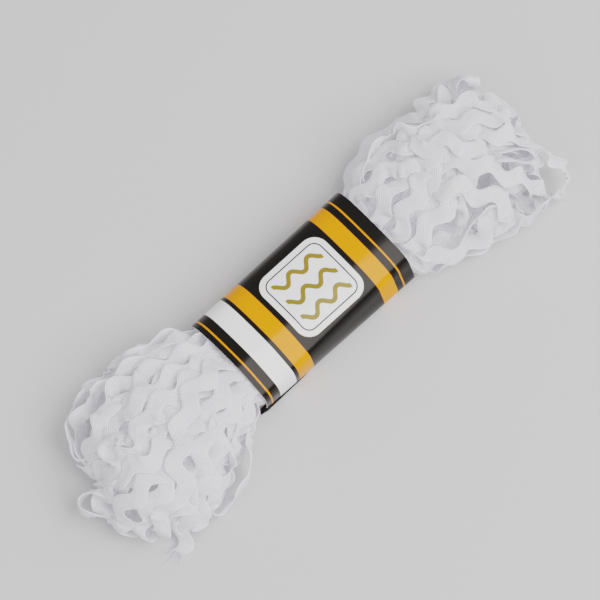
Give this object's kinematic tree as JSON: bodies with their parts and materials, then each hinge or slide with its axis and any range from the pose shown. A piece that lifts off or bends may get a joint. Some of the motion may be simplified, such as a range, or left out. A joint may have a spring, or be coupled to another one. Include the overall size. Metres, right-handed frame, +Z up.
{
  "type": "banded hank of ric rac",
  "caption": "Long white ric rac braid wound into a flat hank, its waist held by a printed paper band, with puffed loops at both ends.",
  "frame": {"origin": "bottom centre of the box round the hank and its band, on the surface that it lies on", "axes": "+X along the hank towards the end with the wide open stray loop, +Z up, -Y is the side with the band's paper tongue"},
  "size_m": [0.2172, 0.0655, 0.0297],
  "materials": {
    "braid": "soft matte polyester braid, fine lengthwise ribs",
    "band_paper": "glossy coated paper, printed"
  },
  "bodies": {
    "root": {"hank": "braid", "paper_band": "band_paper", "loose_end": "braid"}
  },
  "joints": []
}
